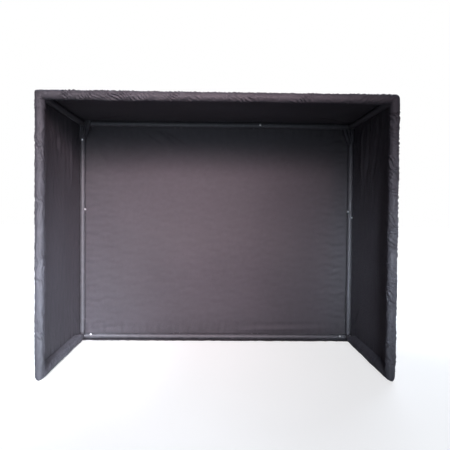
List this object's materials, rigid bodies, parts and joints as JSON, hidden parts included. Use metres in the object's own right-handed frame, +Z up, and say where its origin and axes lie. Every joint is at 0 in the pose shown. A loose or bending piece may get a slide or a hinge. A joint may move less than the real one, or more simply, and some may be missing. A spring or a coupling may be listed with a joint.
{
  "type": "printer enclosure tent",
  "caption": "Box-shaped tent of black fabric on a tube frame, open at the front and bottom, that goes over a desktop 3-D printer.",
  "frame": {"origin": "centre of the footprint, on the surface that the tent stands on", "axes": "+X to the right along the wide side, +Y into the tent from its open front, +Z up"},
  "size_m": [0.96, 0.47, 0.764],
  "materials": {
    "frame_tube": "black powder coat, satin",
    "button_steel": "bright plated steel",
    "coupler_steel": "zinc plated",
    "spring_steel": "blued spring steel",
    "sleeve_fabric": "black polyester, plain weave, slight sheen",
    "trim_fabric": "black polyester, plain weave",
    "panel_fabric": "black coated polyester, slight sheen"
  },
  "bodies": {
    "tent": {"back_bottom_rail_left": "frame_tube", "back_bottom_rail_middle": "frame_tube", "back_bottom_rail_right": "frame_tube", "back_hem": "trim_fabric", "back_left_post_lower": "frame_tube", "back_left_post_upper": "frame_tube", "back_panel": "panel_fabric", "back_right_post_lower": "frame_tube", "back_right_post_upper": "frame_tube", "back_top_rail_left": "frame_tube", "back_top_rail_middle": "frame_tube", "back_top_rail_right": "frame_tube", "bottom_left_side_tube": "frame_tube", "bottom_left_sleeve": "sleeve_fabric", "bottom_right_side_tube": "frame_tube", "bottom_right_sleeve": "sleeve_fabric", "button_springs": "spring_steel", "corner_cap_left": "sleeve_fabric", "corner_cap_right": "sleeve_fabric", "corner_fitting_back_bottom_left": "frame_tube", "corner_fitting_back_bottom_right": "frame_tube", "corner_fitting_back_top_left": "frame_tube", "corner_fitting_back_top_right": "frame_tube", "corner_fitting_front_bottom_left": "frame_tube", "corner_fitting_front_bottom_right": "frame_tube", "corner_fitting_front_top_left": "frame_tube", "corner_fitting_front_top_right": "frame_tube", "corner_tab_left": "trim_fabric", "corner_tab_right": "trim_fabric", "front_left_post_lower": "frame_tube", "front_left_post_upper": "frame_tube", "front_left_sleeve": "sleeve_fabric", "front_right_post_lower": "frame_tube", "front_right_post_upper": "frame_tube", "front_right_sleeve": "sleeve_fabric", "front_top_rail_left": "frame_tube", "front_top_rail_middle": "frame_tube", "front_top_rail_right": "frame_tube", "front_top_sleeve": "sleeve_fabric", "left_panel": "panel_fabric", "right_panel": "panel_fabric", "splice_couplers": "coupler_steel", "top_left_side_tube": "frame_tube", "top_panel": "panel_fabric", "top_right_side_tube": "frame_tube"},
    "back_top_rail_buttons": {"back_top_rail_buttons": "button_steel"},
    "back_bottom_rail_buttons": {"back_bottom_rail_buttons": "button_steel"},
    "front_frame_buttons": {"front_frame_buttons": "button_steel"},
    "bottom_side_tube_buttons": {"bottom_side_tube_buttons": "button_steel"},
    "top_side_tube_buttons": {"top_side_tube_buttons": "button_steel"},
    "back_left_post_buttons": {"back_left_post_buttons": "button_steel"},
    "back_right_post_buttons": {"back_right_post_buttons": "button_steel"},
    "button_top_rail_splice": {"button_top_rail_splice": "button_steel"},
    "button_bottom_rail_left_end": {"button_bottom_rail_left_end": "button_steel"},
    "button_bottom_rail_right_end": {"button_bottom_rail_right_end": "button_steel"},
    "button_left_post_splice": {"button_left_post_splice": "button_steel"},
    "button_left_post_top": {"button_left_post_top": "button_steel"},
    "button_right_post_splice_lower": {"button_right_post_splice_lower": "button_steel"},
    "button_right_post_splice_upper": {"button_right_post_splice_upper": "button_steel"},
    "button_bottom_side_back": {"button_bottom_side_back": "button_steel"}
  },
  "joints": [
    {"name": "press_back_top_rail_buttons", "type": "slide", "parent": "tent", "child": "back_top_rail_buttons", "axis": [0, -0.6428, 0.766], "range_m": [0, 0.004], "stiffness_N_per_m": 1500, "deforming": ["button_springs"]},
    {"name": "press_back_bottom_rail_buttons", "type": "slide", "parent": "tent", "child": "back_bottom_rail_buttons", "axis": [0, -0.6428, -0.766], "range_m": [0, 0.004], "stiffness_N_per_m": 1500, "deforming": ["button_springs"]},
    {"name": "press_front_frame_buttons", "type": "slide", "parent": "tent", "child": "front_frame_buttons", "axis": [0, -1, 0], "range_m": [0, 0.004], "stiffness_N_per_m": 1500, "deforming": ["button_springs"]},
    {"name": "press_bottom_side_tube_buttons", "type": "slide", "parent": "tent", "child": "bottom_side_tube_buttons", "axis": [0, 0, -1], "range_m": [0, 0.004], "stiffness_N_per_m": 1500, "deforming": ["button_springs"]},
    {"name": "press_top_side_tube_buttons", "type": "slide", "parent": "tent", "child": "top_side_tube_buttons", "axis": [0, 0, 1], "range_m": [0, 0.004], "stiffness_N_per_m": 1500, "deforming": ["button_springs"]},
    {"name": "press_back_left_post_buttons", "type": "slide", "parent": "tent", "child": "back_left_post_buttons", "axis": [-0.766, -0.6428, 0], "range_m": [0, 0.004], "stiffness_N_per_m": 1500, "deforming": ["button_springs"]},
    {"name": "press_back_right_post_buttons", "type": "slide", "parent": "tent", "child": "back_right_post_buttons", "axis": [0.766, -0.6428, 0], "range_m": [0, 0.004], "stiffness_N_per_m": 1500, "deforming": ["button_springs"]},
    {"name": "press_top_rail_splice", "type": "slide", "parent": "tent", "child": "button_top_rail_splice", "axis": [0, 0.9848, -0.1736], "range_m": [0, 0.004], "stiffness_N_per_m": 1500, "deforming": ["button_springs"]},
    {"name": "press_bottom_rail_left_end", "type": "slide", "parent": "tent", "child": "button_bottom_rail_left_end", "axis": [0, 0.6691, -0.7431], "range_m": [0, 0.004], "stiffness_N_per_m": 1500, "deforming": ["button_springs"]},
    {"name": "press_bottom_rail_right_end", "type": "slide", "parent": "tent", "child": "button_bottom_rail_right_end", "axis": [0, 0.9063, -0.4226], "range_m": [0, 0.004], "stiffness_N_per_m": 1500, "deforming": ["button_springs"]},
    {"name": "press_left_post_splice", "type": "slide", "parent": "tent", "child": "button_left_post_splice", "axis": [-1, 0, 0], "range_m": [0, 0.004], "stiffness_N_per_m": 1500, "deforming": ["button_springs"]},
    {"name": "press_left_post_top", "type": "slide", "parent": "tent", "child": "button_left_post_top", "axis": [0, 1, 0], "range_m": [0, 0.004], "stiffness_N_per_m": 1500, "deforming": ["button_springs"]},
    {"name": "press_right_post_splice_lower", "type": "slide", "parent": "tent", "child": "button_right_post_splice_lower", "axis": [-0.5878, 0.809, 0], "range_m": [0, 0.004], "stiffness_N_per_m": 1500, "deforming": ["button_springs"]},
    {"name": "press_right_post_splice_upper", "type": "slide", "parent": "tent", "child": "button_right_post_splice_upper", "axis": [0.866, 0.5, 0], "range_m": [0, 0.004], "stiffness_N_per_m": 1500, "deforming": ["button_springs"]},
    {"name": "press_bottom_side_back", "type": "slide", "parent": "tent", "child": "button_bottom_side_back", "axis": [0, 0, -1], "range_m": [0, 0.004], "stiffness_N_per_m": 1500, "deforming": ["button_springs"]}
  ]
}
